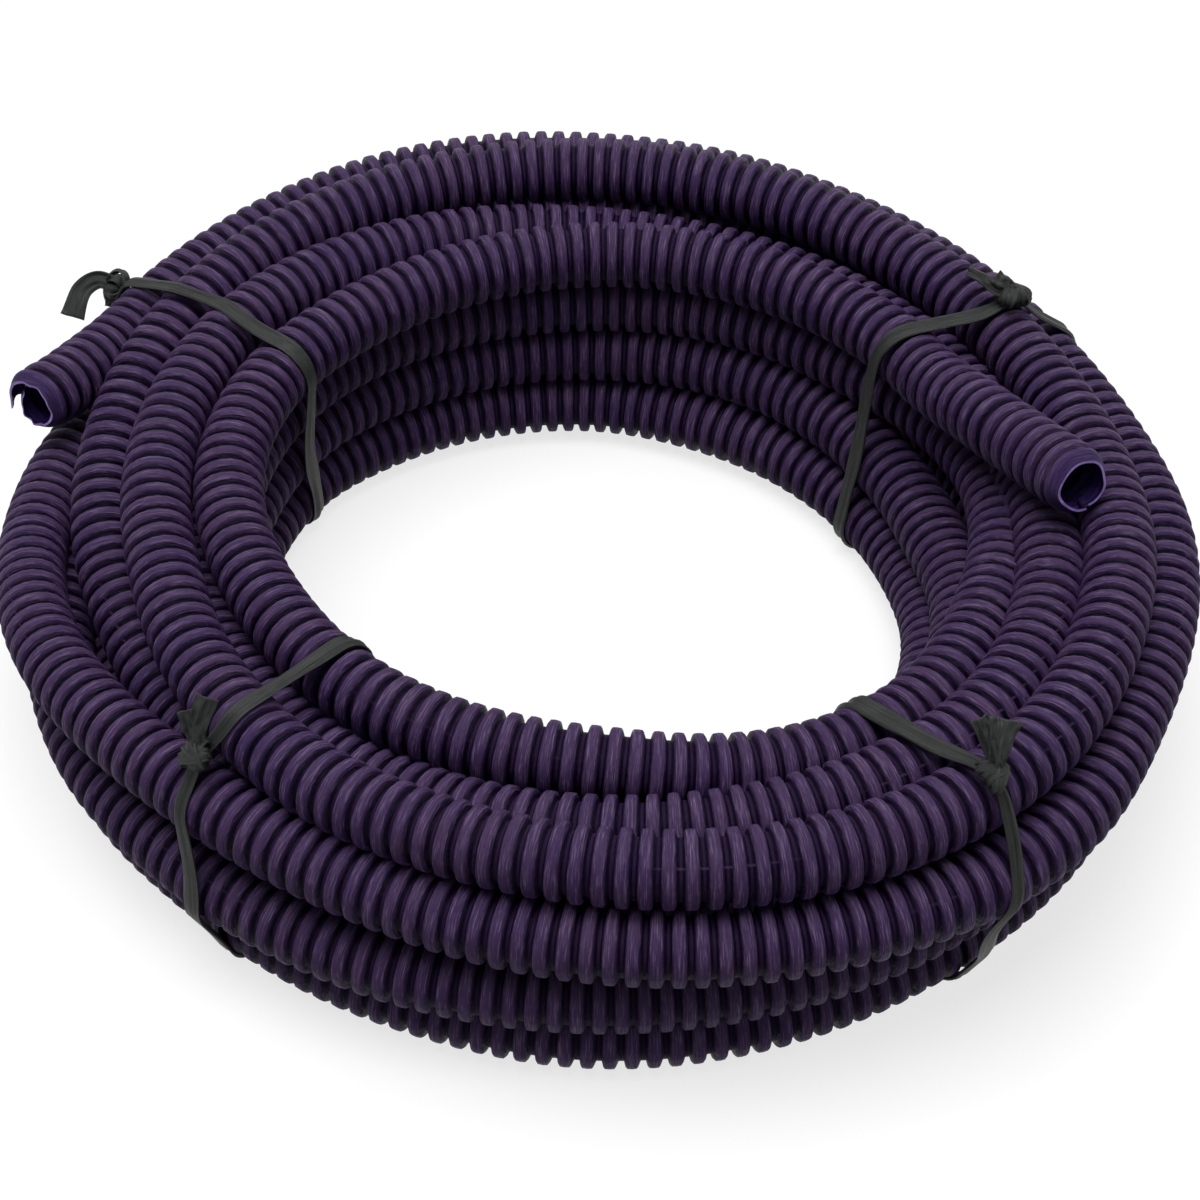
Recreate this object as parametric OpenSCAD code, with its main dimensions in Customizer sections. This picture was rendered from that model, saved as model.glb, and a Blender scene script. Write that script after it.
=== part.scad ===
// Hand-wound coil of split corrugated wiring conduit, held by four ribbon ties.
// The coil lies flat: +Z is up, the floor is z = 0 and the Z axis is the coil's own axis.

/* [Conduit] */
// Outside diameter over the rib crests
conduit_od = 13.5; // [10:0.1:16]
// Distance from one rib to the next along the conduit
rib_pitch = 3.8; // [3.2:0.1:5.5]
// Depth of the grooves between the ribs
groove_depth = 1.5; // [0.8:0.05:2]
// Length of a rib's flat crest
rib_crest = 1.9; // [1.4:0.1:2.2]
// Length of a rib's sloping side, measured along the conduit
rib_side = 0.35; // [0.2:0.05:0.4]
// Wall thickness of the moulding
wall = 0.4; // [0.3:0.05:0.6]
// Gap of the lengthwise slit at the cut ends
slit_gap = 0.5; // [0.3:0.1:1.5]

/* [Coil] */
// Clear diameter of the coil's centre at the floor
coil_bore = 117; // [100:1:160]
// Angle about the coil's axis where the inner free end leaves the top turn
inner_end_angle = 29; // [20:1:40]
// Number of ribs that stand clear on the inner free end, which lies across the coil
inner_end_ribs = 4; // [4:1:8]
// Slope of the inner free end as it climbs over the outer turns, in degrees
inner_end_slope = 12; // [12:1:15]
// Angle about the coil's axis where the outer free end leaves the outermost turn
outer_end_angle = 150; // [150:1:160]
// Number of ribs that stand clear on the outer free end
outer_end_ribs = 4; // [4:1:6]
// Slope of the outer free end, in degrees
outer_end_slope = 3; // [3:1:6]
// Number of ribs over which the free ends are open
open_ribs = 4; // [3:1:4]

/* [Ties] */
// Width of the tie ribbon
ribbon_width = 4; // [2.5:0.1:6]
// Thickness of the folded ribbon
ribbon_thickness = 0.5; // [0.3:0.1:1]
// Clearance between a ribbon and the conduit that it holds
ribbon_clearance = 0.25; // [0.15:0.05:0.4]
// Diameter of a tie's knot
knot_size = 6.5; // [5:0.5:9]
// Angle about the coil's axis of the front left tie
front_left_angle = 226; // [215:1:235]
// Angle about the coil's axis of the front right tie
front_right_angle = 309; // [300:1:320]
// Angle about the coil's axis of the back left tie
back_left_angle = 149; // [140:1:151]
// Angle about the coil's axis of the back right tie
back_right_angle = 33; // [31:1:45]
// Length of a tie's loose tails
tail_length = 12; // [8:1:24]

/* [Hidden] */

conduit_r = conduit_od / 2;
valley_r = conduit_r - groove_depth;
bore_r = valley_r - wall;
coil_r = coil_bore / 2 + conduit_r;

// Room round the ribs of a free end for a fitting's sleeve
fitting_room = 0.6;
// Smooth root of the outer free end, until its ribs are clear of the turns beside it
outer_end_root = 1.8 * conduit_od;
// The wound turns are as thick as the crests, and an end is smooth until it is clear of them.
smooth_r = conduit_r - groove_depth / 2;

// Places of the wound turns in the coil's section, in conduit diameters:
// [out from the innermost turn, up from the floor].
bottom_layer = [[0, 0.5], [1, 0.5], [1.85, 0.95], [2.7, 0.5]];
second_layer = [[0.2, 1.48], [1.12, 1.42], [2.1, 1.85], [2.9, 1.4]];
third_layer = [[0.25, 2.46], [1.3, 2.3], [3.05, 2.3]];
top_layer = [[0.25, 3.42], [1.4, 3.0], [2.25, 3.25]];
turn_places = concat(bottom_layer, second_layer, third_layer, top_layer);
outside_turns = [0, 3, 7, 10, 13, 11, 8, 4];
inner_end_turn = top_layer[0];
// The last turn lies on top only from the back right tie to the outer free end.
last_turn = [3.1, 3.25];
// Lean of each tie's two tails from the knot's own upright, and their swing along the coil
front_left_tails = [[30, 15], [50, -25]];
front_right_tails = [[35, 20], [15, -25]];
back_left_tails = [[-40, 20], [0, -20]];
back_right_tails = [[20, 25], [50, -10]];
// Tilt of the knots about the turn that they lie on, out from the top
front_knot_tilt = 20;
back_left_knot_tilt = 35;
back_right_knot_tilt = 10;

function turn_r(place) = coil_r + place[0] * conduit_od;
// The lowest turns lie on the ribbons of the ties.
function turn_z(place) = place[1] * conduit_od + ribbon_clearance + ribbon_thickness;

// Length that a straight end needs before its ribs are clear of the turn that it leaves, when
// it climbs at a slope.
function clear_length(radius, slope) =
    let (
        apart = conduit_od + fitting_room,
        rise = radius * pow(sin(slope), 2),
        reach = sqrt(rise * rise + pow(apart * cos(slope), 2))
    )
    sqrt(apart * apart + 2 * radius * (reach - rise));

// One wound turn in the coil's section, grown by a margin.
module turn_section(place, grow = 0, facets = 48) {
    translate([turn_r(place), turn_z(place)])
        circle(r = conduit_r + grow, $fn = facets);
}

// The whole coil's section: every turn, joined by a core through the outside turns' centres.
module coil_section() {
    for (place = turn_places) turn_section(place);
    polygon([for (i = outside_turns) [turn_r(turn_places[i]), turn_z(turn_places[i])]]);
}

// One side of the corrugated wall's half section: ribs that follow one another from start.
function rib_line(start, ribs, crest_r, floor_r, crest) = [
    for (i = [0 : ribs - 1])
        let (middle = start + (i + 0.5) * rib_pitch)
        each [
            [floor_r, middle - rib_pitch / 2],
            [floor_r, middle - crest / 2 - rib_side],
            [crest_r, middle - crest / 2],
            [crest_r, middle + crest / 2],
            [floor_r, middle + crest / 2 + rib_side],
        ],
    [floor_r, start + ribs * rib_pitch]
];

function reversed(points) = [for (i = [len(points) - 1 : -1 : 0]) points[i]];

// A cut end of the conduit: smooth over its root, then ribbed outside, with the ribbed bore
// open at the far end over its last ribs, and slit lengthwise.
module free_end(root, ribs, slit_turn) {
    outside = rib_line(root, ribs, conduit_r, valley_r, rib_crest);
    open_z = root + (ribs - open_ribs) * rib_pitch;
    inside = rib_line(open_z, open_ribs, conduit_r - wall, bore_r, rib_crest - 2 * wall);
    difference() {
        rotate_extrude($fn = 72)
            polygon(concat(
                [[0, 0], [smooth_r, 0], [smooth_r, root]], outside, reversed(inside), [[0, open_z]]
            ));
        rotate([0, 0, slit_turn])
            translate([bore_r - wall, -slit_gap / 2, open_z + rib_pitch])
                cube([groove_depth + 3 * wall, slit_gap, open_ribs * rib_pitch]);
    }
}

// Puts a straight end tangent to a turn, which it leaves at an angle about the coil's axis.
// direction is +1 for an end that runs on counterclockwise and -1 for one that runs clockwise.
module leave_turn(place, angle, direction, slope) {
    rotate([0, 0, angle])
        translate([turn_r(place), 0, turn_z(place)])
            rotate([-direction * (90 - slope), 0, 0])
                children();
}

module conduit() {
    color([0.24, 0.17, 0.30]) {
        rotate_extrude($fn = 144) coil_section();
        rotate([0, 0, back_right_angle])
            rotate_extrude(angle = outer_end_angle - back_right_angle, $fn = 144)
                turn_section(last_turn);
        leave_turn(inner_end_turn, inner_end_angle, -1, inner_end_slope)
            free_end(clear_length(turn_r(inner_end_turn), inner_end_slope), inner_end_ribs, 90);
        leave_turn(last_turn, outer_end_angle, 1, outer_end_slope)
            free_end(outer_end_root, outer_end_ribs, 90);
    }
}

// Outline of the taut loop round the coil's section, grown by a margin.
module loop_outline(top_turns, grow) {
    hull() {
        for (i = outside_turns) turn_section(turn_places[i], grow, 32);
        for (place = top_turns) turn_section(place, grow, 32);
    }
}

// One loose end of a ribbon: flat, flared towards its cut end.
module tail(length) {
    translate([0, 0, -ribbon_thickness / 2])
        linear_extrude(height = ribbon_thickness)
            polygon([
                [-ribbon_width / 4, 0], [ribbon_width / 4, 0],
                [ribbon_width * 0.7, length], [-ribbon_width * 0.5, length * 0.85]
            ]);
}

// A ribbon tie: a loop round the coil, and a knot with two tails at its top outer corner.
// top_turns are the turns on top of the coil that the loop also holds, knot_turn is the turn
// that the knot lies on, knot_tilt its tilt about that turn from straight up, and tails holds
// each tail's lean from straight up and its swing along the coil.
module ribbon_tie(angle, top_turns, knot_turn, knot_tilt, tails) {
    color([0.16, 0.17, 0.17])
        rotate([0, 0, angle]) rotate([90, 0, 0]) {
            linear_extrude(height = ribbon_width, center = true)
                difference() {
                    loop_outline(top_turns, ribbon_clearance + ribbon_thickness);
                    loop_outline(top_turns, ribbon_clearance);
                }
            translate([turn_r(knot_turn), turn_z(knot_turn), 0])
                rotate([0, 0, -knot_tilt])
                    translate([0, conduit_r + ribbon_clearance + knot_size / 2, 0]) {
                        sphere(r = knot_size / 2, $fn = 48);
                        for (t = tails)
                            rotate([t[1], 0, t[0]]) tail(tail_length);
                    }
        }
}

module tie_front_left() {
    ribbon_tie(front_left_angle, [], top_layer[2], front_knot_tilt, front_left_tails);
}

module tie_front_right() {
    ribbon_tie(front_right_angle, [], top_layer[2], front_knot_tilt, front_right_tails);
}

module tie_back_left() {
    ribbon_tie(back_left_angle, [last_turn], last_turn, back_left_knot_tilt, back_left_tails);
}

module tie_back_right() {
    ribbon_tie(back_right_angle, [last_turn], top_layer[2], back_right_knot_tilt, back_right_tails);
}

conduit();
tie_front_left();
tie_front_right();
tie_back_left();
tie_back_right();
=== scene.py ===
# %% [markdown]
# # A hand-wound coil of split corrugated conduit
# The real object is about fourteen turns of thin, ribbed, split tube, wound by hand and held
# by four knotted plastic ribbons. The solids from CAD fix its size and place. This lesson
# dresses them: every rib of the conduit, its cut ends, the creased ribbons and their knots.

# %% Load the frame
import math

import bmesh
import bpy
import numpy as np
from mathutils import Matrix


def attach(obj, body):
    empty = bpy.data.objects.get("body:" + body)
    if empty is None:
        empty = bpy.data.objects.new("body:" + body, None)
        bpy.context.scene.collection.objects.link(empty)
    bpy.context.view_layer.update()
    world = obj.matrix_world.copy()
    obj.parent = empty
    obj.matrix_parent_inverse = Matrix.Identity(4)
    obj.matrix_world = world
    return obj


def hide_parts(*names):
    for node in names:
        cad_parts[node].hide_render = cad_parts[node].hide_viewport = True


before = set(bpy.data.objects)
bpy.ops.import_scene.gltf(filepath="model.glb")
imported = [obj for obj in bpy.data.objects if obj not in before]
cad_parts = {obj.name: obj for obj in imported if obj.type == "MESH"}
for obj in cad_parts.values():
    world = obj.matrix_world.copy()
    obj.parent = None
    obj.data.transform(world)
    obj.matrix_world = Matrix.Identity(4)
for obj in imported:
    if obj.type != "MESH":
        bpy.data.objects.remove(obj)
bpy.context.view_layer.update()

print("CAD nodes:", sorted(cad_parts))

# %% [markdown]
# ## Sizes
# Nominal 3/8 inch conduit is 13.5 mm over its ribs. A rib is a flat-topped ring with steep
# sides and rounded shoulders, and at half its height it takes a little over three fifths of the
# pitch.

# %% Sizes of the conduit and the coil
MM = 0.001
CONDUIT_OD = 13.5 * MM
RIB_PITCH = 3.65 * MM
GROOVE_DEPTH = 1.45 * MM
WALL = 0.5 * MM
INNERMOST_TURN = 65.25 * MM
FLOOR_GAP = 0.75 * MM
print("ribs in a metre of conduit:", round(1 / RIB_PITCH))

# %% [markdown]
# ## Camera
# The coil is seen from in front, from a little over 40 degrees above the floor. A long lens
# keeps the far turns nearly as large as the near ones. The small shift only centres the frame.

# %% Camera
CAMERA_HEIGHT = 43.9  # degrees above the floor
VIEW_DISTANCE = 560.77 * MM
AIM_HEIGHT = 26.71 * MM
LENS = 86.55
SENSOR_WIDTH = 36
SHIFT = (-0.00625, -0.045)

camera_data = bpy.data.cameras.new("camera")
camera_data.lens = LENS
camera_data.sensor_width = SENSOR_WIDTH
camera_data.shift_x, camera_data.shift_y = SHIFT
camera = bpy.data.objects.new("camera", camera_data)
camera.location = (
    0,
    -VIEW_DISTANCE * math.cos(math.radians(CAMERA_HEIGHT)),
    VIEW_DISTANCE * math.sin(math.radians(CAMERA_HEIGHT)) + AIM_HEIGHT,
)
camera.rotation_euler = (math.radians(90 - CAMERA_HEIGHT), 0, 0)
bpy.context.scene.collection.objects.link(camera)
bpy.context.scene.camera = camera
print("camera at", tuple(round(c, 3) for c in camera.location))

# %% [markdown]
# ## How the conduit lies
# A helix would look machine-wound. On the real coil the turns wander: one sinks between its
# neighbours, another climbs over them. So the route is a table, one row of stations to a turn:
# the angle about the coil's axis, how far out from the innermost turn and how far up from the
# floor, both in conduit diameters. A smooth curve through the stations is the centreline. The
# rows are set by how they look from the camera, and aren't held a full diameter apart, so many
# turns run into their neighbours.

# %% The lay of the turns
LAY = [
    # From the inner free end: on top at the inside, sinking at the front right
    [(29, .22, 3.42), (45, .13, 3.4), (60, .07, 3.4), (80, .05, 3.4), (100, .05, 3.4),
     (120, .08, 3.4), (140, .20, 3.4), (150, .32, 3.4), (160, .42, 3.4), (180, .47, 3.4),
     (210, .4, 3.4), (230, .5, 3.4), (250, .58, 3.4), (270, .67, 3.38), (280, .82, 3.3),
     (291, .95, 3.2), (302, 1.02, 3.1), (313, 1.01, 3.0), (323, .93, 2.94), (333, .81, 2.87),
     (345, .77, 2.75), (357, .77, 2.62)],
    # The inner wall, three turns down
    [(9, .74, 2.53), (20, .57, 2.48), (30, .42, 2.45), (45, .22, 2.42), (90, .18, 2.42),
     (120, .35, 2.42), (150, .63, 2.42), (180, .66, 2.42), (210, .6, 2.42), (250, .55, 2.4),
     (280, .6, 2.4), (310, .72, 2.2), (330, .6, 2), (350, .3, 1.7)],
    [(10, -.06, 1.5), (30, -.1, 1.46), (60, .02, 1.46), (90, .12, 1.46), (120, .36, 1.46),
     (150, .68, 1.46), (180, .69, 1.45), (210, .6, 1.45), (270, .45, 1.45), (310, .4, 1.4),
     (330, .2, 1.2), (350, -.04, .9)],
    [(8, -.22, .6), (25, -.3, .5), (44, -.34, .5), (60, -.31, .5), (75, -.22, .5),
     (90, -.03, .5), (105, .12, .5), (120, .3, .5), (135, .5, .5), (150, .72, .5),
     (180, .69, .5), (210, .6, .5), (270, .4, .5), (320, .4, .5), (345, .55, .5)],
    # Hidden turns: the floor layer and the core
    [(10, .8, .5), (30, .85, .5), (90, 1.04, .5), (150, 1.66, .5), (180, 1.66, .5),
     (210, 1.55, .5), (270, 1.4, .5), (320, 1.38, .55), (345, 1.3, .95)],
    [(10, 1, 1.35), (30, 1, 1.45), (90, 1.16, 1.45), (150, 1.65, 1.47), (200, 1.6, 1.5),
     (270, 1.4, 1.5), (320, 1.45, 1.4), (345, 1.7, 1.2)],
    [(10, 1.85, .98), (30, 1.85, .95), (90, 1.95, .95), (150, 2.2, 1.1), (200, 2.15, 1.1),
     (270, 1.98, 1), (320, 2, .85), (345, 2.4, .6)],
    # The outer turn on the floor, and the one over it
    [(10, 2.65, .5), (30, 2.66, .5), (90, 2.82, .5), (180, 2.86, .5), (205, 2.81, .5),
     (225, 2.53, .5), (250, 2.55, .5), (270, 2.68, .5), (290, 2.65, .5), (305, 2.61, .5),
     (320, 2.65, .52), (335, 2.7, .7), (350, 2.85, 1.05)],
    [(10, 2.7, 1.5), (30, 2.4, 1.7), (45, 2.2, 1.92), (60, 1.97, 2.15), (75, 1.96, 2.48),
     (90, 1.92, 2.67), (103, 1.92, 2.74), (113, 1.97, 2.74), (125, 2.08, 2.5), (140, 2.35, 1.95),
     (158, 2.85, 1.42), (180, 3.02, 1.42), (205, 3.08, 1.42), (225, 2.88, 1.42),
     (270, 2.8, 1.42), (315, 2.8, 1.42), (340, 2.75, 1.55), (355, 2.45, 1.75)],
    # Hidden on the left, rising between its neighbours at the front
    [(10, 2, 1.9), (25, 1.5, 2), (40, 1.15, 2.1), (80, 1.1, 2.15), (140, 1.1, 2.3),
     (190, 1, 2.45), (215, 1.03, 2.56), (225, 1.1, 2.65), (240, 1.22, 2.75),
     (250, 1.38, 2.92), (260, 1.55, 3.1), (270, 1.68, 3.21), (280, 1.78, 3.28),
     (291, 1.87, 3.35), (301, 1.95, 3.4), (312, 1.95, 3.4), (322, 1.85, 3.38),
     (332, 1.68, 3.31), (342, 1.5, 3.22), (352, 1.3, 3.12)],
    # Sunk at the back, on top at the left and the front
    [(2, 1.15, 3), (12, 1.03, 2.9), (25, .93, 2.85), (40, .88, 2.83), (60, .9, 2.83),
     (80, .97, 2.87), (100, 1.1, 3), (110, 1.2, 3.1), (120, 1.26, 3.2), (130, 1.32, 3.3),
     (140, 1.38, 3.38), (150, 1.45, 3.42), (165, 1.47, 3.42), (180, 1.46, 3.42),
     (199, 1.48, 3.42), (209, 1.62, 3.42), (220, 1.78, 3.42), (230, 1.95, 3.44),
     (240, 2.13, 3.5), (250, 2.26, 3.57), (260, 2.42, 3.63), (270, 2.58, 3.66),
     (280, 2.75, 3.68), (290, 2.86, 3.68), (300, 2.93, 3.67), (310, 2.92, 3.67),
     (320, 2.82, 3.68), (330, 2.62, 3.68), (341, 2.42, 3.6), (351, 2.23, 3.5)],
    # On top at the back, sinking on the left, hidden at the front
    [(1, 2.0, 3.42), (10, 1.84, 3.42), (20, 1.69, 3.47), (30, 1.62, 3.48), (40, 1.62, 3.5),
     (50, 1.64, 3.5), (60, 1.72, 3.52), (70, 1.82, 3.52), (80, 1.94, 3.52), (90, 2.03, 3.52),
     (100, 2.14, 3.5), (110, 2.22, 3.48), (120, 2.29, 3.45), (130, 2.35, 3.4),
     (139, 2.4, 3.33), (148, 2.44, 3.22), (157, 2.47, 3.05), (165, 2.42, 2.9),
     (174, 2.37, 2.75), (183, 2.28, 2.62), (192, 2.12, 2.48), (201, 1.97, 2.4),
     (215, 1.93, 2.33), (240, 2, 2.3), (270, 2.05, 2.3), (300, 2.15, 2.35), (325, 2.1, 2.3),
     (345, 2.05, 2.2)],
    # Low at the back, then the outer top turn from the left to the right
    [(5, 2.2, 2.15), (20, 2.5, 1.8), (40, 2.72, 1.55), (70, 2.95, 1.45), (100, 3, 1.45),
     (130, 3.1, 1.5), (150, 3.18, 1.62), (165, 3.4, 1.85), (181, 3.36, 2.12),
     (192, 3.32, 2.35), (203, 3.14, 2.52), (215, 2.85, 2.63), (226, 2.68, 2.68),
     (237, 2.63, 2.66), (248, 2.68, 2.66), (259, 2.85, 2.68), (270, 3.03, 2.72),
     (281, 3.2, 2.72), (293, 3.34, 2.72), (304, 3.49, 2.72), (315, 3.51, 2.74),
     (326, 3.22, 2.75), (337, 3.09, 2.75), (347, 3.03, 2.74), (357, 2.92, 2.71)],
    # The last turn at the back, up to the outer free end
    [(7, 2.69, 2.68), (16, 2.54, 2.7), (26, 2.46, 2.75), (35, 2.41, 2.81), (44, 2.41, 2.86),
     (53, 2.45, 2.9), (62, 2.53, 2.92), (71, 2.67, 2.95), (81, 2.81, 2.97), (90, 2.9, 2.98),
     (99, 3.06, 3), (109, 3.16, 3), (118, 3.26, 2.97), (127, 3.31, 2.9), (136, 3.33, 2.84),
     (145, 3.33, 2.8), (151, 3.3, 2.8)],
]
STATIONS = np.array([(360 * n + a, out, up) for n, row in enumerate(LAY) for a, out, up in row])
print("stations:", len(STATIONS), "over", len(LAY), "turns")


# %% [markdown]
# ## From stations to a centreline
# A cubic that never overshoots its stations keeps a turn from swinging past them.
# A short running average then takes out the small kinks that no springy tube would have.

# %% Centreline of the wound turns
def smooth_through(x, y, at):
    """Values of a smooth curve through the points x, y that doesn't overshoot them."""
    step = np.diff(x)
    slope = np.diff(y) / step
    tangent = np.zeros(len(x))
    tangent[0], tangent[-1] = slope[0], slope[-1]
    for i in range(1, len(x) - 1):
        if slope[i - 1] * slope[i] > 0:
            w1, w2 = 2 * step[i] + step[i - 1], step[i] + 2 * step[i - 1]
            tangent[i] = (w1 + w2) / (w1 / slope[i - 1] + w2 / slope[i])
    i = np.clip(np.searchsorted(x, at, side="right") - 1, 0, len(step) - 1)
    t = (at - x[i]) / step[i]
    a, b = y[i], y[i + 1]
    ta, tb = tangent[i] * step[i], tangent[i + 1] * step[i]
    return a + t * (ta + t * (3 * (b - a) - 2 * ta - tb + t * (2 * (a - b) + ta + tb)))


SMOOTHING = 5  # degrees
lay_angle = np.arange(STATIONS[0, 0], STATIONS[-1, 0] + 0.5)
kernel = np.exp(-0.5 * (np.arange(-3 * SMOOTHING, 3 * SMOOTHING + 1) / SMOOTHING) ** 2)
kernel /= kernel.sum()


def station_column(column):
    """One column of the stations at every degree, smoothed, and mirrored past its two ends."""
    values = smooth_through(STATIONS[:, 0], STATIONS[:, column], lay_angle)
    padded = np.concatenate([
        2 * values[0] - values[3 * SMOOTHING:0:-1],
        values,
        2 * values[-1] - values[-2:-3 * SMOOTHING - 2:-1],
    ])
    return np.convolve(padded, kernel, mode="valid")


lay_radius = INNERMOST_TURN + station_column(1) * CONDUIT_OD
lay_height = station_column(2) * CONDUIT_OD + FLOOR_GAP
turns = np.stack([
    lay_radius * np.cos(np.radians(lay_angle)),
    lay_radius * np.sin(np.radians(lay_angle)),
    lay_height,
], axis=1)
print("wound turns reach", np.round(turns.max(0) / MM), "mm")


# %% [markdown]
# ## The two free ends
# Each end leaves its turn along the tangent and springs up a few degrees, because the conduit
# is stiff. Its slope grows over the first few millimetres, so that it has no kink.

# %% Centreline with both ends
EASE = 15 * MM


def straight_end(start, inward, length, slope, swing, steps):
    """Points of a free end that leaves start against the direction inward, nearest first.

    slope is how steeply it rises in the end and swing how far it turns aside, in degrees.
    """
    way = math.atan2(-inward[1], -inward[0]) + math.radians(swing)
    level = np.array([math.cos(way), math.sin(way), 0])
    points, here = [], start.copy()
    for i in range(steps):
        rise = math.radians(slope) * min(1, (i + 0.5) * length / steps / EASE)
        here = here + length / steps * (
            level * math.cos(rise) + np.array([0, 0, math.sin(rise)])
        )
        points.append(here)
    return np.array(points)


inner_end = straight_end(turns[0], turns[1] - turns[0],
                         length=60 * MM, slope=14.5, swing=-6.0, steps=44)
outer_end = straight_end(turns[-1], turns[-2] - turns[-1],
                         length=35.5 * MM, slope=9.5, swing=0, steps=28)
centreline = np.concatenate([inner_end[::-1], turns, outer_end])
travelled = np.concatenate([
    [0], np.cumsum(np.linalg.norm(np.diff(centreline, axis=0), axis=1))
])
CONDUIT_LENGTH = float(travelled[-1])
print("length of the conduit:", round(CONDUIT_LENGTH, 3), "m")

# %% [markdown]
# ## Points and meshes
# The rest of the lesson asks for places along the centreline, makes objects from lists of
# vertices and faces, and turns the faces of a finished shell to its outside.

# %% Helpers for points and meshes
def at_length(distance):
    """Points of the centreline at these distances from the inner end's mouth."""
    return np.stack([np.interp(distance, travelled, centreline[:, k]) for k in range(3)], -1)


def new_object(name, vertices, edges=(), faces=()):
    """A mesh object at the origin, linked to the scene."""
    mesh = bpy.data.meshes.new(name)
    mesh.from_pydata([tuple(v) for v in vertices], list(edges), list(faces))
    made = bpy.data.objects.new(name, mesh)
    bpy.context.scene.collection.objects.link(made)
    return made


def face_outward(mesh):
    """Turn the faces of a closed mesh to its outside."""
    work = bmesh.new()
    work.from_mesh(mesh)
    bmesh.ops.recalc_face_normals(work, faces=work.faces)
    work.to_mesh(mesh)
    work.free()


print("the middle of the conduit is at", np.round(at_length(CONDUIT_LENGTH / 2) / MM), "mm")

# %% [markdown]
# ## Shader helpers
# Every finish below is a node tree. These few helpers keep the trees short: one adds a node
# and fills its inputs, two start and place a group with named sockets, and one starts a
# material.

# %% Helpers for node trees
def add(tree, kind, inputs=(), **settings):
    """A new node, with settings on it and values or links in its inputs by name or number."""
    made = tree.nodes.new(kind)
    for key, value in settings.items():
        setattr(made, key, value)
    for key, value in dict(inputs).items():
        if isinstance(value, bpy.types.NodeSocket):
            tree.links.new(value, made.inputs[key])
        else:
            made.inputs[key].default_value = value
    return made


def new_group(kind, name, takes, gives):
    """A node group with named inputs and outputs, and its two end nodes."""
    tree = bpy.data.node_groups.new(name, kind)
    for label, socket, default in takes:
        made = tree.interface.new_socket(label, in_out="INPUT", socket_type=socket)
        if default is not None:
            made.default_value = default
    for label, socket in gives:
        tree.interface.new_socket(label, in_out="OUTPUT", socket_type=socket)
    return tree, tree.nodes.new("NodeGroupInput"), tree.nodes.new("NodeGroupOutput")


def use(tree, group, **inputs):
    """A group placed in a material, with its own values."""
    made = tree.nodes.new("ShaderNodeGroup")
    made.node_tree = group
    for key, value in inputs.items():
        socket = made.inputs[key.replace("_", " ")]
        if isinstance(value, bpy.types.NodeSocket):
            tree.links.new(value, socket)
        else:
            socket.default_value = value
    return made


def new_material(name):
    """A material with its Principled shader."""
    made = bpy.data.materials.new(name)
    made.use_nodes = True
    return made, made.node_tree, made.node_tree.nodes["Principled BSDF"]


VALUE, VECTOR, COLOUR = "NodeSocketFloat", "NodeSocketVector", "NodeSocketColor"
print("node helpers ready")

# %% [markdown]
# ## Nodes that occur most
# Arithmetic, a change of range, a blend of two colours and a look at what the mesh keeps make
# up most of every finish. Each gets a short name, so that a finish reads like a recipe.

# %% Helpers for single nodes
def calculate(tree, operation, first, second=0.0):
    """The result of one Math node."""
    return add(tree, "ShaderNodeMath", {0: first, 1: second}, operation=operation).outputs[0]


def ranged(tree, value, **limits):
    """A value taken from one range to another by a Map Range node, such as To_Max=0.5."""
    named = {key.replace("_", " "): limit for key, limit in limits.items()}
    return add(tree, "ShaderNodeMapRange", {"Value": value, **named}).outputs[0]


def blend(tree, share, first, second):
    """A share of the way from one colour to another.

    A Mix node takes its colours in sockets 6 and 7, and gives the result from socket 2.
    """
    mix = add(tree, "ShaderNodeMix", {0: share, 6: first, 7: second}, data_type="RGBA")
    return mix.outputs[2]


def grey(level):
    """A grey as the colour sockets take it."""
    return (level, level, level, 1)


def seeing_ray(tree):
    """One for a ray from the camera, through something or off a gloss, and nought for others."""
    path = add(tree, "ShaderNodeLightPath")
    straight = calculate(tree, "MAXIMUM", path.outputs["Is Camera Ray"],
                         path.outputs["Is Transmission Ray"])
    return calculate(tree, "MAXIMUM", straight, path.outputs["Is Glossy Ray"])


def attribute(tree, name, output="Fac"):
    """What a mesh keeps under a name."""
    return add(tree, "ShaderNodeAttribute", attribute_name=name).outputs[output]


print("single nodes ready")

# %% [markdown]
# ## Effect: drawn streaks
# The ribs are formed while the plastic is soft, which leaves fine streaks that run round the
# tube. Noise that is long round the tube and short along it gives them. The pattern is read
# from two attributes of the mesh, so it bends with the conduit and has no seam. On the crests
# the fine streaks are also painted paler as a sheen, a painted highlight.

# %% Shader group: drawn streaks
streaks, took, gave = new_group(
    "ShaderNodeTree", "Drawn streaks",
    [("Ring", VECTOR, None), ("Along", VALUE, 0), ("Fineness", VALUE, 1)],
    [("Mask", VALUE)],
)
lengthwise = calculate(streaks, "MULTIPLY", took.outputs["Along"], took.outputs["Fineness"])
place = add(streaks, "ShaderNodeCombineXYZ", {"Z": lengthwise})
wound = add(streaks, "ShaderNodeVectorMath", {
    0: took.outputs["Ring"], 1: place.outputs[0],
}, operation="ADD")
grain = add(streaks, "ShaderNodeTexNoise", {
    "Vector": wound.outputs[0], "Scale": 1.6, "Detail": 4.0, "Roughness": 0.62,
})
level = ranged(streaks, grain.outputs["Fac"], From_Min=0.3, From_Max=0.7)
streaks.links.new(level, gave.inputs["Mask"])
print("group:", streaks.name)

# %% [markdown]
# ## Effect: mottling
# Moulded plastic is never quite one colour. Slow noise in object space moves the colour a
# little between two near shades, and the same group serves the conduit and the ribbons.

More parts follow.
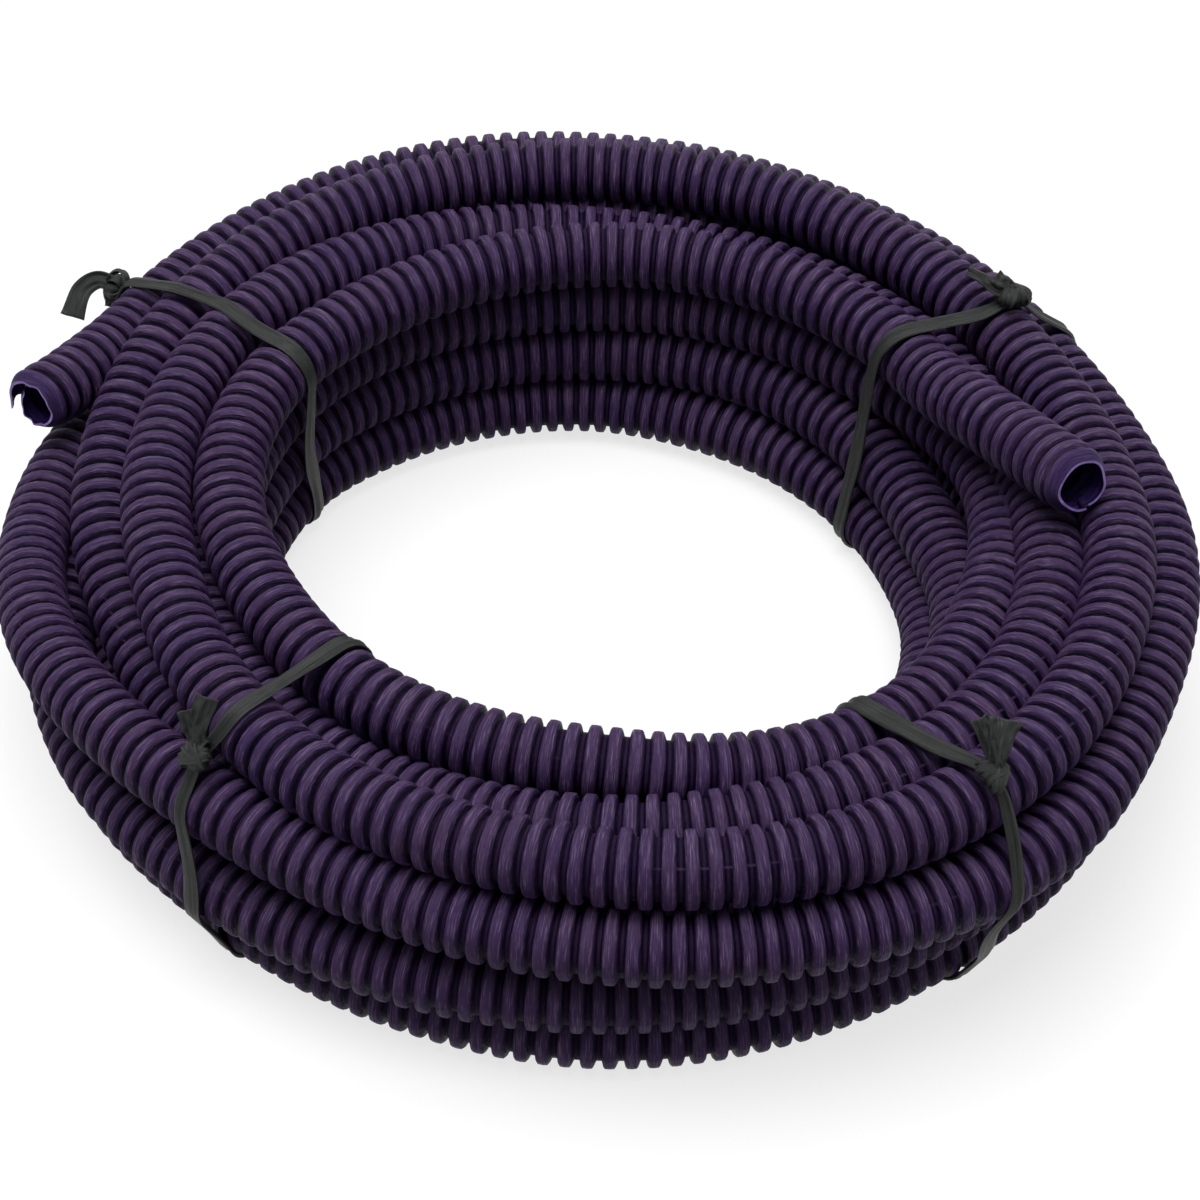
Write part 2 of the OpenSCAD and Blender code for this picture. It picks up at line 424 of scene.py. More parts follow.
# %% Shader group: mottling
mottling, took, gave = new_group(
    "ShaderNodeTree", "Mottling",
    [("Shade", COLOUR, (0.1, 0.1, 0.1, 1)), ("Other shade", COLOUR, (0.2, 0.2, 0.2, 1)),
     ("Size", VALUE, 60)],
    [("Color", COLOUR), ("Mask", VALUE)],
)
spot = add(mottling, "ShaderNodeTexCoord")
patches = add(mottling, "ShaderNodeTexNoise", {
    "Vector": spot.outputs["Object"], "Scale": took.outputs["Size"], "Detail": 5.0,
    "Roughness": 0.55,
})
spread = ranged(mottling, patches.outputs["Fac"], From_Min=0.3, From_Max=0.7)
shade = blend(mottling, spread, took.outputs["Shade"], took.outputs["Other shade"])
mottling.links.new(shade, gave.inputs["Color"])
mottling.links.new(spread, gave.inputs["Mask"])
print("group:", mottling.name)

# %% [markdown]
# ## Effect: dust
# A coil that has lain on a shelf has a faint film on what faces up. The film is the upward
# part of the surface's direction, broken by fine noise.

# %% Shader group: dust
dust, took, gave = new_group(
    "ShaderNodeTree", "Dust", [("Amount", VALUE, 0.1)], [("Mask", VALUE)],
)
facing = add(dust, "ShaderNodeNewGeometry")
parts = add(dust, "ShaderNodeSeparateXYZ", {0: facing.outputs["Normal"]})
upward = ranged(dust, parts.outputs["Z"], From_Min=0.1, From_Max=1.0)
spot = add(dust, "ShaderNodeTexCoord")
specks = add(dust, "ShaderNodeTexNoise", {
    "Vector": spot.outputs["Object"], "Scale": 900.0, "Detail": 3.0,
})
broken = calculate(dust, "MULTIPLY", upward, specks.outputs["Fac"])
film = calculate(dust, "MULTIPLY", broken, took.outputs["Amount"])
dust.links.new(film, gave.inputs["Mask"])
print("group:", dust.name)


# %% [markdown]
# ## Finish: the conduit's plastic
# Deep purple polyethylene with a soft sheen. Crests are paler and a little greyer than the
# grooves, whose dark colour is painted shade. It is deepest in a groove's two corners, with
# painted light on the floor between them. The crests take a little dust, and streaks run round
# every rib; on the crests the streaks are also painted paler as a sheen. The mould's halves meet
# in a line, which leaves small pale ticks in the grooves here and there. One function makes the
# plastic in three pairs of shades: the ribs, the bare collar at a mouth, and the inside.

# %% Material: conduit plastic
# The streak colour is partly the streaks' own and partly a painted sheen on the crests.
STREAK_AND_SHEEN_PURPLE = (0.23, 0.16, 0.30, 1)
TICK_PURPLE = (0.15, 0.11, 0.21, 1)
DUST_GREY = (0.32, 0.28, 0.34, 1)
FINE_STREAKS, COARSE_STREAKS = 2700.0, 800.0  # how far the noise moves on in a metre
FLOOR_MIDDLE = 0.12  # place of a groove's middle, as a share of the pitch
SEAM_PLACE = 0.62  # how far to the side of the section the mould line lies, in radii


def conduit_material(name, shade, other_shade, groove_painted_shade, dusty):
    """The plastic in its own shades, with painted groove shade and sheen, dust and mould ticks."""
    made, tree, shader = new_material(name)
    ring, along = attribute(tree, "ring", "Vector"), attribute(tree, "along")
    relief = attribute(tree, "relief")
    fine = use(tree, streaks, Ring=ring, Along=along, Fineness=FINE_STREAKS).outputs["Mask"]
    coarse = use(tree, streaks, Ring=ring, Along=along, Fineness=COARSE_STREAKS).outputs["Mask"]
    plastic = use(tree, mottling, Shade=shade, Other_shade=other_shade, Size=70.0)
    film = use(tree, dust, Amount=dusty).outputs["Mask"]

    # Crest, groove floor and the dark corners between them: the groove colour is painted shade,
    # and the floor's share is painted light
    crest = ranged(tree, relief, From_Min=0.35, From_Max=0.96)
    phase = calculate(tree, "FRACT", calculate(tree, "MULTIPLY", along, 1 / RIB_PITCH))
    from_floor = calculate(tree, "ABSOLUTE", calculate(tree, "SUBTRACT", phase, FLOOR_MIDDLE))
    groove_floor_painted_light = ranged(tree, from_floor, From_Min=0.035, From_Max=0.105, To_Min=0.42, To_Max=0.0)
    lit = calculate(tree, "MAXIMUM", crest, groove_floor_painted_light)
    colour = blend(tree, lit, groove_painted_shade, plastic.outputs["Color"])

    # Streaks, partly a painted sheen, and dust, on the crests only
    streaks_and_sheen = ranged(tree, fine, From_Min=0.5, From_Max=1.0, To_Max=0.7)
    colour = blend(tree, calculate(tree, "MULTIPLY", streaks_and_sheen, crest), colour, STREAK_AND_SHEEN_PURPLE)
    colour = blend(tree, calculate(tree, "MULTIPLY", film, crest), colour, DUST_GREY)

    # Ticks of the mould line, in the grooves only and on some stretches only
    side = add(tree, "ShaderNodeSeparateXYZ", {0: ring}).outputs["X"]
    apart = calculate(tree, "ABSOLUTE", calculate(tree, "SUBTRACT", side, SEAM_PLACE))
    line = ranged(tree, apart, From_Min=0.012, From_Max=0.045, To_Min=1.0, To_Max=0.0)
    in_groove = ranged(tree, relief, From_Min=0.2, From_Max=0.8, To_Min=1.0, To_Max=0.0)
    patchy = add(tree, "ShaderNodeTexNoise", {
        "W": along, "Scale": 14.0, "Detail": 2.0,
    }, noise_dimensions="1D")
    stretch = ranged(tree, patchy.outputs["Fac"], From_Min=0.56, From_Max=0.66, To_Max=0.28)
    flash = calculate(tree, "MULTIPLY", line, in_groove)
    colour = blend(tree, calculate(tree, "MULTIPLY", flash, stretch), colour, TICK_PURPLE)
    tree.links.new(colour, shader.inputs["Base Color"])

    rough = ranged(tree, coarse, To_Min=0.36, To_Max=0.58)
    tree.links.new(rough, shader.inputs["Roughness"])
    bump = add(tree, "ShaderNodeBump", {
        "Height": calculate(tree, "ADD", fine, coarse), "Strength": 0.8, "Distance": 0.0003,
    })
    tree.links.new(bump.outputs[0], shader.inputs["Normal"])
    shader.inputs["Specular IOR Level"].default_value = 0.06
    return made


# Each groove colour below is painted shade, far darker than its plastic.
conduit_plastic = conduit_material(
    "conduit plastic", shade=(0.042, 0.020, 0.084, 1), other_shade=(0.060, 0.029, 0.088, 1),
    groove_painted_shade=(0.004, 0.0014, 0.010, 1), dusty=0.1,
)
collar_plastic = conduit_material(
    "collar plastic", shade=(0.042, 0.021, 0.088, 1), other_shade=(0.08, 0.05, 0.14, 1),
    groove_painted_shade=(0.025, 0.011, 0.06, 1), dusty=0.05,
)
inside_plastic = conduit_material(
    "inside plastic", shade=(0.028, 0.011, 0.11, 1), other_shade=(0.05, 0.024, 0.17, 1),
    groove_painted_shade=(0.014, 0.006, 0.055, 1), dusty=0.0,
)
print("materials:", conduit_plastic.name, collar_plastic.name, inside_plastic.name)

# %% [markdown]
# ## Finish: the cut edge
# Where a knife has gone through the wall, the plastic is stretched pale and shows its true
# violet. The edge is so narrow that two mottled shades and an uneven gloss are enough.

# %% Material: cut edge
cut_edge, tree, shader = new_material("cut edge")
violet = use(tree, mottling, Shade=(0.16, 0.085, 0.36, 1), Other_shade=(0.34, 0.24, 0.60, 1),
             Size=600.0)
tree.links.new(violet.outputs["Color"], shader.inputs["Base Color"])
rough = ranged(tree, violet.outputs["Mask"], To_Min=0.3, To_Max=0.55)
tree.links.new(rough, shader.inputs["Roughness"])
print("material:", cut_edge.name)

# %% [markdown]
# ## Finish: the ribbons
# Charcoal plastic film, drawn tight, so that it is full of fine lengthwise creases. They are
# in the mesh where they are deep, and in the bump where they are fine. Their tops are painted
# paler, partly worn film and partly a painted highlight.

# %% Material: ribbon film
CREASES_ACROSS, CREASES_ALONG = 9.0, 90.0  # in half a width, and in a metre
ribbon_film, tree, shader = new_material("ribbon film")
across = add(tree, "ShaderNodeSeparateXYZ", {0: attribute(tree, "ring", "Vector")})
wide = calculate(tree, "MULTIPLY", across.outputs["X"], CREASES_ACROSS)
long = calculate(tree, "MULTIPLY", attribute(tree, "along"), CREASES_ALONG)
place = add(tree, "ShaderNodeCombineXYZ", {"X": wide, "Y": long})
creases = add(tree, "ShaderNodeTexNoise", {
    "Vector": place.outputs[0], "Scale": 1.0, "Detail": 4.0, "Roughness": 0.6,
}).outputs["Fac"]
film = use(tree, mottling, Shade=(0.008, 0.0086, 0.0084, 1),
           Other_shade=(0.018, 0.0193, 0.0188, 1), Size=160.0)
# Paler crease tops: partly worn film, partly a painted highlight.
pale = ranged(tree, creases, From_Min=0.5, From_Max=0.75, To_Max=0.5)
worn_and_highlit = blend(tree, pale, film.outputs["Color"], (0.085, 0.095, 0.09, 1))
tree.links.new(worn_and_highlit, shader.inputs["Base Color"])
rough = ranged(tree, creases, From_Min=0.3, From_Max=0.7, To_Min=0.34, To_Max=0.56)
tree.links.new(rough, shader.inputs["Roughness"])
bump = add(tree, "ShaderNodeBump", {
    "Height": creases, "Strength": 0.9, "Distance": 0.0004,
})
tree.links.new(bump.outputs[0], shader.inputs["Normal"])
shader.inputs["Specular IOR Level"].default_value = 0.3
print("material:", ribbon_film.name)

# %% [markdown]
# ## Ribs by rule
# About two thousand ribs follow one path, which is work for Geometry Nodes. The tree walks the
# centreline and puts seven rings on every rib: two in the groove, then the shoulder, three
# over the slightly crowned crest, and the other shoulder. Each ring is scaled to its own
# radius, and one section, with a narrow notch for the lengthwise slit, is swept through all.

# %% Geometry Nodes: rings along the path
RINGS = [  # distance along the pitch, height over the groove as a share of its depth
    (0.00, 0.00), (0.24, 0.00), (0.31, 0.70), (0.385, 0.95), (0.60, 1.00), (0.815, 0.95),
    (0.89, 0.70),
]
TUBE_SIDES = 26
SLIT_HALF_ANGLE = 0.03  # radians
SLIT_DEPTH = 0.2  # as a share of the ring's radius
tube, took, gave = new_group(
    "GeometryNodeTree", "Corrugated tube",
    [("Centreline", "NodeSocketGeometry", None), ("First rib", "NodeSocketInt", 0),
     ("Ribs", "NodeSocketInt", 10), ("Pitch", VALUE, RIB_PITCH),
     ("Outer radius", VALUE, CONDUIT_OD / 2), ("Groove depth", VALUE, GROOVE_DEPTH),
     ("Sides", "NodeSocketInt", TUBE_SIDES), ("Slit", VALUE, SLIT_HALF_ANGLE),
     ("Slit depth", VALUE, SLIT_DEPTH),
     ("Plastic", "NodeSocketMaterial", None)],
    [("Tube", "NodeSocketGeometry")],
)


def maths(operation, first, second=0.0):
    """The result of one Math node in the tube's tree."""
    return calculate(tube, operation, first, second)


def chosen(values, index):
    """One of several numbers, by its index."""
    pick = tube.nodes.new("GeometryNodeIndexSwitch")
    pick.data_type = "FLOAT"
    for _ in range(len(values) - 2):
        pick.index_switch_items.new()
    for k, value in enumerate(values):
        pick.inputs[k + 1].default_value = value
    tube.links.new(index, pick.inputs[0])
    return pick.outputs[0]


count = maths("ADD", maths("MULTIPLY", took.outputs["Ribs"], len(RINGS)), 1)
index = tube.nodes.new("GeometryNodeInputIndex").outputs[0]
rib = maths("FLOOR", maths("DIVIDE", index, len(RINGS)))
ring_number = maths("SUBTRACT", index, maths("MULTIPLY", rib, len(RINGS)))
offset = chosen([r[0] for r in RINGS], ring_number)
height = chosen([r[1] for r in RINGS], ring_number)
ribs_before = maths("ADD", rib, took.outputs["First rib"])
distance = maths("MULTIPLY", maths("ADD", ribs_before, offset), took.outputs["Pitch"])
route = add(tube, "GeometryNodeMeshToCurve", {0: took.outputs["Centreline"]})
sample = add(tube, "GeometryNodeSampleCurve", {
    "Curves": route.outputs[0], "Length": distance,
}, mode="LENGTH")
row = add(tube, "GeometryNodeMeshLine", {"Count": count, "Offset": (0, 0, 0.001)})
put = add(tube, "GeometryNodeSetPosition", {
    0: row.outputs[0], "Position": sample.outputs["Position"],
})
keep_along = add(tube, "GeometryNodeStoreNamedAttribute", {
    0: put.outputs[0], "Name": "along", "Value": distance,
}, data_type="FLOAT", domain="POINT")
keep_relief = add(tube, "GeometryNodeStoreNamedAttribute", {
    0: keep_along.outputs[0], "Name": "relief", "Value": height,
}, data_type="FLOAT", domain="POINT")
sunk = maths("MULTIPLY", maths("SUBTRACT", 1.0, height), took.outputs["Groove depth"])
ring_radius = maths("SUBTRACT", took.outputs["Outer radius"], sunk)
keep_size = add(tube, "GeometryNodeStoreNamedAttribute", {
    0: keep_relief.outputs[0], "Name": "ring_size", "Value": ring_radius,
}, data_type="FLOAT", domain="POINT")
line = add(tube, "GeometryNodeMeshToCurve", {0: keep_size.outputs[0]})
upright = add(tube, "GeometryNodeSetCurveNormal", {0: line.outputs[0]}, mode="Z_UP")
print("rings to a rib:", len(RINGS))

# %% [markdown]
# ## The section of the tube
# The section is a circle of unit radius. Its last two points lie deeper than the rest, a
# hair's breadth apart, and make the notch of the slit. Two points close beside the notch keep
# the smooth shading of the round wall from bending into it.

# %% Geometry Nodes: the slit section, swept
LIP = 0.035  # radians from the notch to the point beside it
SLIT_TURN = math.radians(90)  # turns the notch to the underside
section = add(tube, "GeometryNodeMeshCircle", {"Vertices": took.outputs["Sides"]},
              fill_type="NONE")
last = maths("SUBTRACT", took.outputs["Sides"], 3)
half = took.outputs["Slit"]
span = maths("SUBTRACT", 2 * math.pi - 2 * LIP, maths("MULTIPLY", half, 2))
step = maths("DIVIDE", span, maths("SUBTRACT", last, 2))
inner_steps = maths("MAXIMUM", maths("SUBTRACT", maths("MINIMUM", index,
                    maths("SUBTRACT", last, 1)), 1), 0)
lips = maths("ADD", maths("MINIMUM", index, 1),
             maths("MAXIMUM", maths("SUBTRACT", index, maths("SUBTRACT", last, 1)), 0))
round_angle = maths("ADD", half, maths("ADD", maths("MULTIPLY", inner_steps, step),
                                       maths("MULTIPLY", lips, LIP)))
in_notch = maths("GREATER_THAN", index, maths("ADD", last, 0.5))
side = maths("SUBTRACT", maths("MULTIPLY", maths("SUBTRACT", index, last), 2), 3)
notch_angle = maths("MULTIPLY", maths("MULTIPLY", side, half), 0.6)
angle = maths("ADD", maths("ADD", maths("MULTIPLY", round_angle,
                                        maths("SUBTRACT", 1.0, in_notch)),
                           maths("MULTIPLY", notch_angle, in_notch)), SLIT_TURN)
radius = maths("SUBTRACT", 1.0, maths("MULTIPLY", in_notch, took.outputs["Slit depth"]))
around = add(tube, "ShaderNodeCombineXYZ", {
    "X": maths("MULTIPLY", radius, maths("COSINE", angle)),
    "Y": maths("MULTIPLY", radius, maths("SINE", angle)),
})
bent = add(tube, "GeometryNodeSetPosition", {
    0: section.outputs[0], "Position": around.outputs[0],
})
keep_ring = add(tube, "GeometryNodeStoreNamedAttribute", {
    0: bent.outputs[0], "Name": "ring", "Value": around.outputs[0],
}, data_type="FLOAT_VECTOR", domain="POINT")
profile = add(tube, "GeometryNodeMeshToCurve", {0: keep_ring.outputs[0]})
size = add(tube, "GeometryNodeInputNamedAttribute", {"Name": "ring_size"}, data_type="FLOAT")
swept = add(tube, "GeometryNodeCurveToMesh", {
    "Curve": upright.outputs[0], "Profile Curve": profile.outputs[0],
    "Scale": size.outputs[0], "Fill Caps": True,
})
smooth = add(tube, "GeometryNodeSetShadeSmooth", {0: swept.outputs[0]})
real = add(tube, "GeometryNodeRealizeInstances", {0: smooth.outputs[0]})
finished = add(tube, "GeometryNodeSetMaterial", {
    0: real.outputs[0], "Material": took.outputs["Plastic"],
})
tube.links.new(finished.outputs[0], gave.inputs[0])
print("nodes in the tube's tree:", len(tube.nodes))


# %% [markdown]
# ## The wound conduit
# One mesh of all ribs would be too heavy to handle, so the conduit is baked in lengths that
# meet in a groove, each a plain mesh. They follow one another on one centreline.

# %% Bake the wound conduit
END_RIBS = 7
LENGTHS = 5
all_ribs = int(CONDUIT_LENGTH / RIB_PITCH)
path_object = new_object(
    "conduit_path", centreline, edges=[(i, i + 1) for i in range(len(centreline) - 1)]
)


def baked(source, name, tree, inputs):
    """The plain mesh object that a Geometry Nodes tree makes of source."""
    layer = source.modifiers.new(tree.name, "NODES")
    layer.node_group = tree
    sockets = {s.name: s.identifier for s in tree.interface.items_tree if s.in_out == "INPUT"}
    for label, value in inputs.items():
        layer[sockets[label]] = value
    bpy.context.view_layer.update()
    graph = bpy.context.evaluated_depsgraph_get()
    mesh = bpy.data.meshes.new_from_object(source.evaluated_get(graph), depsgraph=graph)
    mesh.name = name
    made = bpy.data.objects.new(name, mesh)
    bpy.context.scene.collection.objects.link(made)
    source.modifiers.remove(layer)
    return made


cuts = np.linspace(END_RIBS, all_ribs - END_RIBS, LENGTHS + 1).astype(int)
lengths = []
for k in range(LENGTHS):
    piece = baked(path_object, f"conduit_length_{k + 1}", tube, {
        "First rib": int(cuts[k]), "Ribs": int(cuts[k + 1] - cuts[k]), "Pitch": RIB_PITCH,
        "Outer radius": CONDUIT_OD / 2, "Groove depth": GROOVE_DEPTH, "Sides": TUBE_SIDES,
        "Slit": SLIT_HALF_ANGLE, "Slit depth": SLIT_DEPTH, "Plastic": conduit_plastic,
    })
    lengths.append(piece)
    print(piece.name, "faces:", len(piece.data.polygons))


# %% [markdown]
# ## Cut ends
# At both ends the wall itself shows: thin, ribbed inside as outside, and open along the slit.
# A shell is built ring by ring in mesh code, outer and inner skin together, and closed over
# its edges. The knife left a collar without ribs at the mouth, squeezed to an oval. Towards the
# mouth the slit opens or overlaps, and one edge can curl outward while the other rolls in.

# %% Rings of a cut end
SHELL_SIDES = 56
COLLAR_LENGTH = 3.5 * MM
COLLAR_RINGS = [  # distance past the last groove, height over the groove as in RINGS
    (0.0, 0.0), (0.4 * MM, 0.62), (0.8 * MM, 0.82), (1.4 * MM, 0.76), (2.1 * MM, 0.52),
    (2.8 * MM, 0.18),
]
SHAPED = 12 * MM  # how far in from the mouth the shell is opened, squeezed and curled
SHOWN_EDGE = 6 * MM  # how far in from the collar the slit's edges have the cut finish
CLOSED_SLIT = 0.02  # radians from the slit's middle to each edge, where it isn't opened
RIBBED, CUT, BARE, INNER = range(4)  # places of the finishes in the mesh


def ring_frame(tangent):
    """Level and upward directions across the path."""
    level = np.cross(tangent, (0, 0, 1))
    level /= np.linalg.norm(level)
    return level, np.cross(level, tangent)


def end_stations(reach):
    """Distances of a cut end's rings with their heights, and where its collar begins."""
    collar = reach - COLLAR_LENGTH
    ribbed = [((rib_index + share) * RIB_PITCH, raised)
              for rib_index in range(END_RIBS + 2) for share, raised in RINGS]
    stations = [s for s in ribbed if s[0] < collar - 0.5 * MM]
    stations += [(collar + past, raised) for past, raised in COLLAR_RINGS]
    stations += [(reach - 0.15 * MM, -0.06), (reach, -0.12)]
    return stations, collar


def torn_lip(chance, amount):
    """How far the knife's cut wanders along the conduit, at each point round the mouth."""
    round_mouth = np.linspace(0, 2 * math.pi, SHELL_SIDES + 1)
    lip = np.zeros(SHELL_SIDES + 1)
    for wave in range(5, 12):
        lip += chance.normal() * np.sin(wave * round_mouth + chance.uniform(0, 6))
    return lip * (amount / 3)


print("rings of the inner end:", len(end_stations(cuts[0] * RIB_PITCH)[0]))

# %% [markdown]
# ## Shape and skin of a mouth
# A ring near the mouth is squeezed to an oval. The faces come in three groups: the two skins,
# which are shaded smooth, the slit's two edges, and the rims. Each takes the finish of the
# plastic that shows there.

# %% Oval and faces of a cut end
def squeezed(x, y, amount, angle):
    """An outline made longer along an angle, and narrower across it, by the same share."""
    c, s = math.cos(angle), math.sin(angle)
    a, b = c * x + s * y, -s * x + c * y
    a, b = a * (1 + amount), b * (1 - amount)
    return c * a - s * b, s * a + c * b


def shell_faces(stations, collar):
    """Faces of a shell and their finishes, and how many of them, the first ones, are smooth."""
    rows, across = len(stations), SHELL_SIDES + 1
    inside = rows * across
    faces, finishes = [], []
    for j in range(rows - 1):
        skin = BARE if stations[j][0] >= collar else RIBBED
        for i in range(SHELL_SIDES):
            a, b = j * across + i, (j + 1) * across + i
            faces.append((a, a + 1, b + 1, b))
            faces.append((inside + a, inside + b, inside + b + 1, inside + a + 1))
            finishes += [skin, INNER]
    smooth_faces = len(faces)
    for j in range(rows - 1):
        for i, flip in ((0, False), (SHELL_SIDES, True)):
            a, b = j * across + i, (j + 1) * across + i
            quad = (a, b, inside + b, inside + a)
            faces.append(quad[::-1] if flip else quad)
            finishes.append(CUT if stations[j][0] >= collar - SHOWN_EDGE else RIBBED)
    for j, flip in ((0, False), (rows - 1, True)):
        for i in range(SHELL_SIDES):
            a = j * across + i
            quad = (a, inside + a, inside + a + 1, a + 1)
            faces.append(quad[::-1] if flip else quad)
            finishes.append(CUT)
    return faces, finishes, smooth_faces


print("points round a mouth:", SHELL_SIDES + 1)

# %% [markdown]
# ## The two mouths
# One function builds both ends. The inner end was cut clean and has stayed nearly round. The
# outer one was cut roughly: its slit has sprung into a spiral with one edge standing out.

# %% Build the cut ends
def cut_end(name, first, last, slit_angle, open_by, oval, oval_angle, spiral, ragged, seed):
    """A shell from first to last along the conduit, whose mouth is at last.

    open_by holds how far the two edges of the slit part at the mouth, in radians, where a
    negative share overlaps. spiral is how far the first edge stands out there, and how much
    narrower than the first the second edge is rolled. The mouth is longer by the share oval
    along oval_angle, and ragged is the size of its torn lip.
    """
    toward = 1 if last > first else -1
    reach = abs(last - first)
    stations, collar = end_stations(reach)
    groove_r = CONDUIT_OD / 2 - GROOVE_DEPTH
    lip = torn_lip(np.random.default_rng(seed), ragged)
    way = np.linspace(0, 2 * math.pi, SHELL_SIDES + 1)
    wobble = 0.035 * np.sin(3 * way + seed) + 0.02 * np.sin(5 * way + 2 * seed)
    way_round = np.linspace(0, 1, SHELL_SIDES + 1)
    outer, inner, ring, along, relief = [], [], [], [], []
    for where, raised in stations:
        share = np.clip((where - (reach - SHAPED)) / SHAPED, 0, 1) ** 2
        here = at_length(first + toward * where)
        if where < reach - MM:
            ahead = at_length(first + toward * (where + 0.5 * MM))
        else:
            ahead = here + (here - at_length(first + toward * (where - MM)))
        tangent = ahead - here
        tangent = tangent / np.linalg.norm(tangent)
        level, up = ring_frame(tangent)
        turn = np.linspace(CLOSED_SLIT + open_by[0] * share,
                           2 * math.pi - CLOSED_SLIT - open_by[1] * share, SHELL_SIDES + 1)
        size = groove_r + raised * GROOVE_DEPTH
        curl = share * spiral[0] * np.exp(-(way_round / 0.16) ** 2)
        narrowed = 1 - share * spiral[1] * way_round ** 1.5
        push = lip * share * (where > reach - 0.3 * MM)
        for skin, r in ((outer, size), (inner, size - WALL)):
            radial = r * narrowed * (1 + share * wobble) + curl
            x, y = squeezed(radial * np.cos(turn + slit_angle), radial * np.sin(turn + slit_angle),
                            oval * share, oval_angle)
            skin.append(here + np.outer(x, level) + np.outer(y, up) + np.outer(push, tangent))
        ring.append(np.stack([np.cos(turn), np.sin(turn), 0 * turn], 1))
        along.append(np.full(SHELL_SIDES + 1, first + toward * where))
        relief.append(np.full(SHELL_SIDES + 1, raised if where < collar else max(raised, 0.5)))
    points = np.concatenate(outer + inner)
    faces, finishes, smooth_faces = shell_faces(stations, collar)
    made = new_object(name, points, faces=faces)
    mesh = made.data
    for label, kind, values in (
        ("ring", "FLOAT_VECTOR", np.concatenate(ring + ring)),
        ("along", "FLOAT", np.concatenate(along + along)),
        ("relief", "FLOAT", np.concatenate(relief + [0.75 * r for r in relief])),
    ):
        layer = mesh.attributes.new(label, kind, "POINT")
        layer.data.foreach_set("vector" if kind == "FLOAT_VECTOR" else "value",
                               values.astype(np.float32).ravel())
    for finish in (conduit_plastic, cut_edge, collar_plastic, inside_plastic):
        mesh.materials.append(finish)
    for number, face in enumerate(mesh.polygons):
        face.use_smooth = number < smooth_faces
        face.material_index = finishes[number]
    return made


inner_mouth = cut_end(
    "conduit_inner_mouth", cuts[0] * RIB_PITCH, 0.0, slit_angle=math.radians(262),
    open_by=(0.04, 0.04), oval=0.03, oval_angle=math.radians(20), spiral=(0.35 * MM, 0.05),
    ragged=0.05 * MM, seed=3,
)
outer_mouth = cut_end(
    "conduit_outer_mouth", cuts[-1] * RIB_PITCH, CONDUIT_LENGTH, slit_angle=math.radians(5),
    open_by=(-0.5, -0.5), oval=0.08, oval_angle=math.radians(65), spiral=(1.3 * MM, 0.42),
    ragged=0.4 * MM, seed=5,
)
for mouth in (inner_mouth, outer_mouth):
    face_outward(mouth.data)
    print(mouth.name, "faces:", len(mouth.data.polygons))


# %% [markdown]
# ## The ribbons' way round the coil
# A tight ribbon takes the shortest way round the turns: in the coil's section that is the
# convex outline of all the tubes. The section differs from place to place, so the outline is
# worked out again at each step of the loop, at the angle that the ribbon has there.

# %% Outline of the coil's section
def convex_outline(points):
    """Corner points of the convex outline, counterclockwise."""
    order = sorted(map(tuple, points))
    chain = []
    for run in (order, order[::-1]):
        part = []
        for p in run:
            while len(part) > 1 and (
                (part[-1][0] - part[-2][0]) * (p[1] - part[-2][1])
                - (part[-1][1] - part[-2][1]) * (p[0] - part[-2][0])
            ) <= 0:
                part.pop()
            part.append(p)
        chain += part[:-1]
    return np.array(chain)


end_out = inner_end[::-1]
end_angle = np.degrees(np.arctan2(end_out[:, 1], end_out[:, 0]))
end_radius = np.hypot(end_out[:, 0], end_out[:, 1])


def section_outline(angle, margin):
    """Convex outline of all turns at an angle about the axis, in radius and height."""
    circle = np.linspace(0, 2 * math.pi, 40, endpoint=False)
    reach = CONDUIT_OD / 2 + margin
    places = []
    for n in range(len(LAY)):
        here = angle % 360 + 360 * n
        if lay_angle[0] <= here <= lay_angle[-1]:
            places.append((np.interp(here, lay_angle, lay_radius),
                           np.interp(here, lay_angle, lay_height)))
    if end_angle[0] <= angle % 360 < lay_angle[0]:
        places.append((np.interp(angle % 360, end_angle, end_radius),
                       np.interp(angle % 360, end_angle, end_out[:, 2])))
    return convex_outline(np.concatenate([
        np.stack([r + reach * np.cos(circle), z + reach * np.sin(circle)], 1) for r, z in places
    ]))


def on_outline(outline, direction):
    """Point of a convex outline in a direction, in degrees, from its middle."""
    middle = (outline.max(0) + outline.min(0)) / 2
    d = np.array([math.cos(math.radians(direction)), math.sin(math.radians(direction))])
    n = np.array([-d[1], d[0]])
    side = (outline - middle) @ n
    for i in range(len(outline)):
        j = (i + 1) % len(outline)
        if side[i] <= 0 < side[j]:
            t = side[i] / (side[i] - side[j])
            hit = outline[i] + t * (outline[j] - outline[i])
            if (hit - middle) @ d > 0:
                return hit
    return middle


print("outline corners at the front:", len(section_outline(270, 0)))


# %% [markdown]
# ## Ribbon in mesh code
# A ribbon is a strip with thickness, swept along a path. Drawn film gathers into lengthwise
# folds, so the strip's height changes across it, and the folds drift along it. The same
# function makes the loops, the wraps of a knot and the loose tails.

# %% A creased strip along a path
ACROSS = 13


